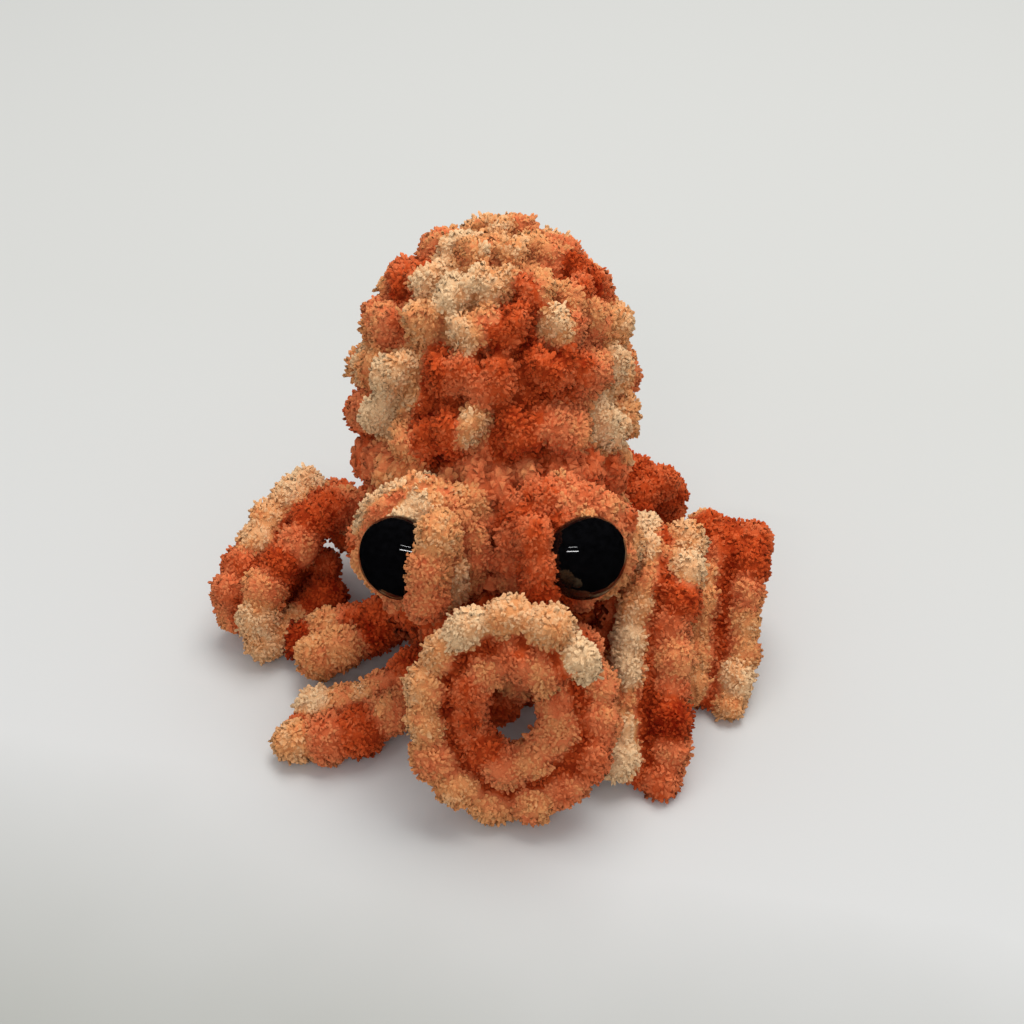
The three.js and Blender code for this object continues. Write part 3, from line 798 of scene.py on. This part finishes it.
# The coil: a ring in a plane that leans back, after a lead from the root, as (right, up the plane,
# forwards) in strands from the ring's middle. It starts and ends at these degrees
COIL_HALF_WIDTH, COIL_HALF_HEIGHT, COIL_NARROWING, COIL_LEAN = 11.5, 13.9, 0.04, math.radians(27)
COIL_FORWARD, COIL_ASIDE, COIL_START, COIL_TIP, FLOOR_PRESS = 13.0, 3.4, -98, 20, 0.5
COIL_STEPS = 8
COIL_LEAD = [(-0.1, 0.6, -1.1), (0.35, 1.05, -0.75), (0.95, 0.95, -0.3), (1.3, 0.35, 0.0),
             (1.3, -0.5, 0.25), (0.9, -1.1, 0.2)]
COIL_ADVANCE = 1.1  # strands that the tip lies in front of the ring's start
COIL_UP = np.array([0.0, math.sin(COIL_LEAN), math.cos(COIL_LEAN)])
COIL_FRONT = np.cross(RIGHT, COIL_UP)


def outward_at(bearing):
    return np.array([math.sin(math.radians(bearing)), -math.cos(math.radians(bearing)), 0.0])


def inside_head(point):
    along = point - HEAD_FOOT
    height = along @ HEAD_AXIS
    return np.linalg.norm(along - HEAD_AXIS * height) < head_radius(height)


def root_centre(bearing):
    outward = outward_at(bearing)
    point = np.array([0.0, HEAD_AXIS[1] / HEAD_AXIS[2] * (ROOT_LEVEL - BASE_THICKNESS), ROOT_LEVEL])
    while inside_head(point):
        point = point + outward * 0.05
    return point + outward * ROOT_OUT


def coil_route(bearing):
    root = root_centre(bearing)
    reach = COIL_HALF_HEIGHT + STRAND / 2 * (1 + STRAND_SPREAD) - FLOOR_PRESS
    middle = np.array([COIL_ASIDE, root[1] - COIL_FORWARD, reach * COIL_UP[2]])
    points = [middle + (RIGHT * a + COIL_UP * r + COIL_FRONT * b) * STRAND for a, r, b in COIL_LEAD]
    sweep = 360 - (COIL_TIP - COIL_START)
    for i in range(COIL_STEPS + 1):
        share = i / COIL_STEPS
        turn = math.radians(COIL_START - sweep * share)
        size = 1 - COIL_NARROWING * share ** 2
        ahead = COIL_ADVANCE * STRAND * share ** 1.4
        points.append(middle + RIGHT * COIL_HALF_WIDTH * size * math.cos(turn)
                      + COIL_UP * (COIL_HALF_HEIGHT * size * math.sin(turn) + ahead * 0.2)
                      + COIL_FRONT * ahead)
    return points


def placed_route(bearing, places):
    root = root_centre(bearing)
    outward = outward_at(bearing)
    aside = np.cross(UP, outward)
    return [np.array([root[0], root[1], 0.0]) + (outward * o + aside * a + UP * level) * STRAND
            for o, a, level in places]


ROUTE_STEPS = 16  # of the curve between two places


def between(a, b, start, end, at):
    """The point at this place on the line that is at a for start and at b for end."""
    return (end - at) / (end - start) * a + (at - start) / (end - start) * b


def smooth_route(points):
    """A centripetal Catmull-Rom curve through the points, and the length along it at each of its own."""
    points = [np.array(p, float) for p in points]
    points = [2 * points[0] - points[1]] + points + [2 * points[-1] - points[-2]]
    curve = []
    for i in range(1, len(points) - 2):
        near = points[i - 1:i + 3]
        t = [0.0]
        for a, b in zip(near, near[1:]):
            t.append(t[-1] + max(np.linalg.norm(b - a), 1e-6) ** 0.5)
        for s in np.linspace(t[1], t[2], ROUTE_STEPS, endpoint=False):
            one = [between(near[k], near[k + 1], t[k], t[k + 1], s) for k in range(3)]
            two = [between(one[k], one[k + 1], t[k], t[k + 2], s) for k in range(2)]
            curve.append(between(*two, t[1], t[2], s))
    curve.append(points[-2])
    curve = np.array(curve)
    lengths = np.concatenate([[0], np.cumsum(np.linalg.norm(np.diff(curve, axis=0), axis=1))])
    return curve, lengths


def towards(start, end=None):
    """A side that is the same all along, or that turns from the first direction to the second."""
    start, end = np.array(start, float), np.array(end or start, float)
    return lambda share, tangent: start * (1 - share) + end * share


def into_coil(share, tangent):
    """The side that faces the coil's middle."""
    return np.cross(tangent, COIL_FRONT)


# Each arm's bearing, the side of its second strand, and its places after the root, as (outwards,
# aside, up) in strands
ARMS = {
    "front_arm": (0, into_coil, None),
    "front_right_arm": (45, towards((0.5, -0.75, 0), (1, 0.1, 0)), [
        (0.4, 0.75, 1.7), (0.4, 1.7, 2.75), (0.3, 2.3, 3.6), (0.85, 1.75, 3.45), (1.45, 0.8, 2.35),
        (2.2, -0.2, 0.95), (2.65, -0.85, 0)]),
    "right_arm": (90, towards((-0.5, 0.8, 0), (-1, 0, 0)), [
        (0.95, 0.35, 0.8), (1.9, 1.05, 1), (2.5, 1.5, 1.7), (2.75, 1.4, 2.5), (2.75, 0.7, 2.6),
        (2.6, -0.1, 1.95), (2.45, -1, 0.85), (2.2, -1.85, 0)]),
    "back_right_arm": (135, towards((-0.75, 0.65, 0)), [
        (1, 0.25, 1.5), (1.8, 0.25, 2.25), (2.6, 0.2, 2.05), (2.85, 0.4, 1), (2.75, 0.85, -0.1)]),
    "back_arm": (180, towards((0.75, 0.65, 0), (0.5, 1, 0)), [
        (0.7, 0.45, 1.35), (1.25, 1.25, 2.05), (1.5, 2.15, 2.15), (1.7, 2.75, 1.15), (1.95, 2.75, -0.1)]),
    "back_left_arm": (-135, towards((0.65, -0.75, 0)), [
        (1.1, 0.3, 1.35), (1.95, 0.5, 2.15), (1.85, 1.3, 2.45), (1.6, 2.6, 1.95), (1.4, 3.6, 1.3),
        (1.35, 3.6, 0.6), (1.3, 2.8, 0.4), (1.35, 1.9, 0.65), (1.1, 1.3, 1.1)]),
    "left_arm": (-90, towards((0, 1, 0)), [(0.75, 0.2, 0.9), (1.45, 0.3, 0.7), (2.1, 0.5, 0.45)]),
    "front_left_arm": (-45, towards((0, 1, 0)), [(1, 0, 0.75), (1.85, -0.6, 0.5), (2.6, -1.45, 0.4)]),
}
STITCH_LENGTH, STITCH_STEP = 8.512, 5.4
COIL_SPREAD = 0.86
# How thick these arms' strands are against the others'
FULLNESS = {"back_left_arm": 1.16, "left_arm": 1.17, "front_left_arm": 1.22, "front_arm": 0.97}
ROOT_BALL = 4.9
STRAND_FROM, STRAND_TO = 3.0, 2.2  # from the root to the first stitch, and from the last to the tip
WEB_FROM, WEB_TO, WEB_STEP = 2.0, 4.0, 3.0  # the same for the yarn between the strands
WEB_LENGTH, WEB_THICKNESS = 4.0, 1.7  # half of each lump's

# Dye along each arm's two strands from the root, as (where it ends as a share of the arm, dye)
DARK_RUNS = ([(0.5, BRICK), (1, RUST)], [(0.4, RUST), (1, BRICK)])
ARM_RUNS = {
    "front_arm": (
        [(0.42, SALMON), (0.5, PEACH), (0.58, TAN), (0.64, PEACH), (0.72, TAN), (0.84, SAND), (0.92, TAN),
         (1, CREAM)],
        [(0.3, SALMON), (0.42, PEACH), (0.55, SALMON), (0.78, RUST), (0.9, SALMON), (1, PEACH)]),
    "front_right_arm": (
        [(0.3, RUST), (0.45, SAND), (0.6, TAN), (0.75, CREAM), (0.85, TAN), (1, CREAM)],
        [(0.4, TAN), (0.52, SAND), (0.66, RUST), (0.76, SALMON), (0.86, BRICK), (1, SALMON)]),
    "right_arm": (
        [(0.3, RUST), (0.5, SALMON), (0.65, RUST), (0.85, PEACH), (1, TAN)],
        [(0.35, RUST), (0.5, TAN), (0.6, RUST), (0.75, TAN), (0.9, PEACH), (1, TAN)]),
    "back_right_arm": DARK_RUNS,
    "back_arm": DARK_RUNS,
    # back_left_arm's dark ends, BRICK and WINE, are painted shade at its folded-back tip
    "back_left_arm": (
        [(0.25, RUST), (0.34, CREAM), (0.45, TAN), (0.52, SAND), (0.6, RUST), (0.7, SALMON), (0.85, PEACH),
         (1, BRICK)],
        [(0.2, BRICK), (0.3, PEACH), (0.42, RUST), (0.5, SALMON), (0.58, BRICK), (0.66, PEACH), (0.85, TAN),
         (1, WINE)]),
    "left_arm": ([(0.3, BRICK), (0.75, TAN), (1, RUST)], [(0.3, RUST), (0.7, TAN), (1, BRICK)]),
    "front_left_arm": ([(0.3, SALMON), (0.6, RUST), (0.8, SALMON), (1, PEACH)],
                       [(0.3, SALMON), (0.5, TAN), (0.65, PEACH), (1, SAND)]),
}


def dye_at(runs, share):
    return next((dye for end, dye in runs if share <= end), runs[-1][1])


class Route:
    """An arm's way from its root to its tip, with its two strands on either side of it."""

    def __init__(self, name):
        bearing, self.side_at, places = ARMS[name]
        self.root = root_centre(bearing)
        points = coil_route(bearing) if places is None else placed_route(bearing, places)
        self.curve, self.lengths = smooth_route([self.root] + points)
        self.length = self.lengths[-1]
        self.spread = STRAND / 2 * (COIL_SPREAD if places is None else STRAND_SPREAD)

    def place(self, along):
        return np.array([np.interp(along, self.lengths, self.curve[:, i]) for i in range(3)])

    def frame(self, along):
        """The place, the way on, the side of the second strand and the way the arm faces."""
        tangent = self.place(along + 0.5) - self.place(along - 0.5)
        tangent /= np.linalg.norm(tangent)
        side = self.side_at(along / self.length, tangent)
        side = side - tangent * side.dot(tangent)
        side /= np.linalg.norm(side)
        return self.place(along), tangent, side, np.cross(tangent, side)

    def width(self, along):
        """The arm's width as a share of its fullest, with a neck at the root and a round tip."""
        opening = NECK + (1 - NECK) * min(1.0, along / (STRAND * NECK_LENGTH))
        from_tip = (self.length - along) / (STRAND * TIP_LENGTH)
        closing = math.sqrt(max(0.0, 1 - (1 - from_tip) ** 2)) if from_tip < 1 else 1.0
        return opening * closing


def add_strand(stitches, rng, route, lobe, runs, strand):
    along = STRAND_FROM + (STITCH_STEP / 2 if lobe > 0 else 0)
    while along < route.length - STRAND_TO:
        spot, tangent, side, face = route.frame(along)
        width = route.width(along)
        size = strand * math.sqrt(width) * rng.uniform(0.9, 1.16)
        centre = (spot + side * (lobe * route.spread * width + rng.normal(0, 0.45))
                  + face * rng.normal(0, 0.5))
        way = tangent + side * (lobe * 0.25 + rng.normal(0, 0.2)) + face * rng.normal(0, 0.15)
        radii = (min(STITCH_LENGTH / 2, route.length - along + 0.5), size, size * 1.04)
        dye = dye_at(runs, along / route.length) + rng.normal(0, 0.07)
        add_lump(stitches, rng, centre, way, face * rng.choice([-1, 1]), radii, dye, 0, 2)
        along += STITCH_STEP


def add_web(stitches, route):
    """Flat lumps between the strands, which hold them together."""
    along = WEB_FROM
    while along < route.length - WEB_TO:
        spot, tangent, _, face = route.frame(along)
        width = route.width(along)
        radii = (WEB_LENGTH, route.spread * width, WEB_THICKNESS * math.sqrt(width))
        stitches.add(spot, tangent, face, radii, BRICK, 0)
        along += WEB_STEP


def arm_stitches(name):
    rng = np.random.default_rng(50 + list(ARMS).index(name))
    route = Route(name)
    strand = (STRAND / 2 - PILE_DEPTH) * FULLNESS.get(name, 1.0)
    stitches = Stitches()
    stitches.add(route.root, UP, RIGHT, (ROOT_BALL, ROOT_BALL, ROOT_BALL), BRICK, 0)
    for lobe, runs in zip((-1, 1), ARM_RUNS[name]):
        add_strand(stitches, rng, route, lobe, runs, strand)
    add_web(stitches, route)
    return stitches


def kept_clear(points, root, clearance):
    """Arm points moved out of the head and the mounds, except where the root turns in its seat."""
    points = points.copy()
    for i, point in enumerate(points):
        if np.linalg.norm(point - root) < ROOT_RADIUS:
            continue
        along = point - HEAD_FOOT
        height = along @ HEAD_AXIS
        outward = along - HEAD_AXIS * height
        reach = np.linalg.norm(outward)
        least = head_radius(height) + STITCH_RISE + clearance if height > SKIRT else 0
        if 0 < reach < least:
            points[i] = HEAD_FOOT + HEAD_AXIS * height + outward * least / reach
        for side in (-1, 1):
            middle = mound_middle(side)
            share = np.linalg.norm((points[i] - middle) / (MOUND_HALF + clearance))
            if share < 1:
                points[i] = middle + (points[i] - middle) / share
    return points


# How far each arm that swings turns about its root, in degrees
SWINGS = {"front_arm": (-18, 3), "front_right_arm": (-12, 0), "right_arm": (-16, 12),
          "back_right_arm": (-18, 4), "back_arm": (-24, 2), "back_left_arm": (-8, 0), "left_arm": (-12, 12)}


def turned(points, root, degrees):
    """The points turned about the upright line through an arm's root."""
    angle = math.radians(degrees)
    x, y, z = (points - root).T
    flat = [x * math.cos(angle) - y * math.sin(angle), x * math.sin(angle) + y * math.cos(angle), z]
    return root + np.stack(flat, axis=1)


def clear_through_swing(points, name):
    """An arm's points kept off the head and the mounds at rest and at both ends of its swing."""
    root = root_centre(ARMS[name][0])
    for degrees in (*SWINGS.get(name, ()), 0):
        moved = kept_clear(turned(points, root, degrees), root, PILE_DEPTH + ARM_CLEARANCE)
        points = turned(moved, root, -degrees)
    return points


def socketed(points):
    """Head and base points moved off the arms' roots, which turn in the sockets that this leaves."""
    points = points.copy()
    for bearing, _, _ in ARMS.values():
        off = points - root_centre(bearing)
        far = np.linalg.norm(off, axis=1)
        inside = far < ROOT_RADIUS + 1
        points[inside] += off[inside] * ((ROOT_RADIUS + 1) / far[inside] - 1)[:, None]
    return points


# Assembly
BODY_PIECES = {"head_crown": CROWN, "head_brow": BROW, "head_band": BAND, "head_foot": FOOT,
               "left_mound_yarn": LEFT_MOUND, "right_mound_yarn": RIGHT_MOUND, "base_yarn": BASE}


def make_body():
    stitches = Stitches()
    add_head(stitches)
    add_mound(stitches, -1, LEFT_MOUND, LEFT_MOUND_RUNS)
    add_mound(stitches, 1, RIGHT_MOUND, RIGHT_MOUND_RUNS)
    add_bulges(stitches, -1, LEFT_MOUND, LEFT_BULGES)
    add_bulges(stitches, 1, RIGHT_MOUND, RIGHT_BULGES)
    add_base(stitches)
    skin = knit(stitches)
    skin = skin._replace(points=socketed(skin.points))
    made = {}
    for name, part in BODY_PIECES.items():
        spacing = HIDDEN_SPACING if part in (FOOT, BASE) else TUFT_SPACING
        made[name] = piece(name, part_of_skin(skin, part), "body", 200 + part, spacing)
    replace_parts(made["head_crown"], "head_cover", "head_stuffing")
    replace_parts(made["left_mound_yarn"], "left_eye_mound")
    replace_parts(made["right_mound_yarn"], "right_eye_mound")
    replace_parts(made["base_yarn"], "base_round")


def make_arms():
    for number, name in enumerate(ARMS):
        skin = knit(arm_stitches(name))
        points = clear_through_swing(skin.points, name)
        points[:, 2] = np.maximum(points[:, 2], FLOOR_GAP)
        obj = piece(name + "_yarn", skin._replace(points=points), name, 300 + number)
        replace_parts(obj, name)


# Eyes
EYE_RADIUS, EYE_RISE, EYE_RIM, EYE_SINK = 7.5, 5.0, 0.8, 2.2
EYE_BACK = [(-EYE_RADIUS, -0.2), (-0.5, -0.2), (-0.1, 0.05)]  # (past the radius, height) behind the rim
EYE_STEPS, EYE_SIDES = 24, 64
EYE_ACROSS, EYE_LEVEL = 16.4, 42.0
EYE_TURN, EYE_TILT = math.radians(22), math.radians(20)


def eye_axis(side):
    level = math.cos(EYE_TILT)
    return np.array([math.sin(EYE_TURN) * side * level, -math.cos(EYE_TURN) * level, math.sin(EYE_TILT)])


def eye_frame(side):
    """The eye's outward direction, and the viewer's right and upwards across it."""
    axis = eye_axis(side)
    across = np.cross(UP, axis)
    across /= np.linalg.norm(across)
    return axis, across, np.cross(axis, across)


def eye_seat(side):
    across = (EYE_ACROSS - MOUND_SPREAD) / MOUND_HALF[0]
    rise = (EYE_LEVEL - MOUND_LEVEL) / MOUND_HALF[2]
    depth = MOUND_HALF[1] * math.sqrt(1 - across * across - rise * rise)
    return np.array([side * EYE_ACROSS, -MOUND_FORWARD - depth, EYE_LEVEL]) - eye_axis(side) * EYE_SINK


def make_eye(name, side):
    """A domed eye with a rounded rim, turned finely enough for its gloss."""
    rows = [(EYE_RADIUS + past, height) for past, height in EYE_BACK]
    for i in range(EYE_STEPS):
        angle = math.pi / 2 * i / EYE_STEPS
        rows.append((EYE_RADIUS * math.cos(angle), EYE_RIM + EYE_RISE * math.sin(angle)))
    rows.append((0.0, EYE_RIM + EYE_RISE))
    axis, across, above = eye_frame(side)
    points = []
    for radius, height in rows:
        for k in range(EYE_SIDES):
            angle = 2 * math.pi * k / EYE_SIDES
            points.append(eye_seat(side) + axis * height
                          + (across * math.cos(angle) + above * math.sin(angle)) * radius)
    mesh = plain_mesh(name, points, ring_faces(len(rows), EYE_SIDES))
    bm = bmesh.new()
    bm.from_mesh(mesh)
    bmesh.ops.remove_doubles(bm, verts=bm.verts, dist=1e-7)
    bmesh.ops.recalc_face_normals(bm, faces=bm.faces)
    bm.to_mesh(mesh)
    bm.free()
    mesh.shade_smooth()
    mesh.materials.append(GLOSS)
    obj = new_object(name, mesh)
    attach(obj, "body")
    return obj


def make_eyes():
    for word, side in (("left", -1), ("right", 1)):
        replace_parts(make_eye(f"{word}_eye_dome", side), f"{word}_eye")
        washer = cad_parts[f"{word}_eye_washer"]
        for place in washer.material_slots:
            place.material = WASHER


# Floor and light
def make_stage():
    bpy.ops.mesh.primitive_plane_add(size=6)
    floor = bpy.context.active_object
    floor.name = "floor"
    floor.data.materials.append(floor_material())
    floor.visible_glossy = False
    scene = bpy.context.scene
    scene.view_settings.view_transform = "Standard"
    world = bpy.data.worlds.new("studio")
    scene.world = world
    world.use_nodes = True
    background = world.node_tree.nodes["Background"].inputs
    background["Color"].default_value = linear("#f2f3f5")
    background["Strength"].default_value = 0.62
    world.cycles_visibility.glossy = False


def make_light(name, at, aim, size, watts, colour="#ffffff", glossy=True):
    data = bpy.data.lights.new(name, "AREA")
    data.shape = "RECTANGLE"
    data.size, data.size_y = size
    data.energy = watts
    data.color = linear(colour)[:3]
    light = new_object(name, data)
    light.location = at
    light.rotation_euler = (Vector(aim) - Vector(at)).to_track_quat("-Z", "Y").to_euler()
    light.visible_glossy = glossy


make_body()
make_arms()
make_eyes()
make_stage()
make_light("key", (0.15, 0.3, 1.0), (0, 0.03, 0.03), (0.8, 0.6), 7.7, "#fffdfa", glossy=False)
make_light("window_high", (-0.14, -0.75, 0.8), (0, 0, 0.04), (0.4, 0.008), 0.3)
make_light("window_low", (-0.12, -0.8, 0.62), (0, 0, 0.04), (0.5, 0.02), 1.0)
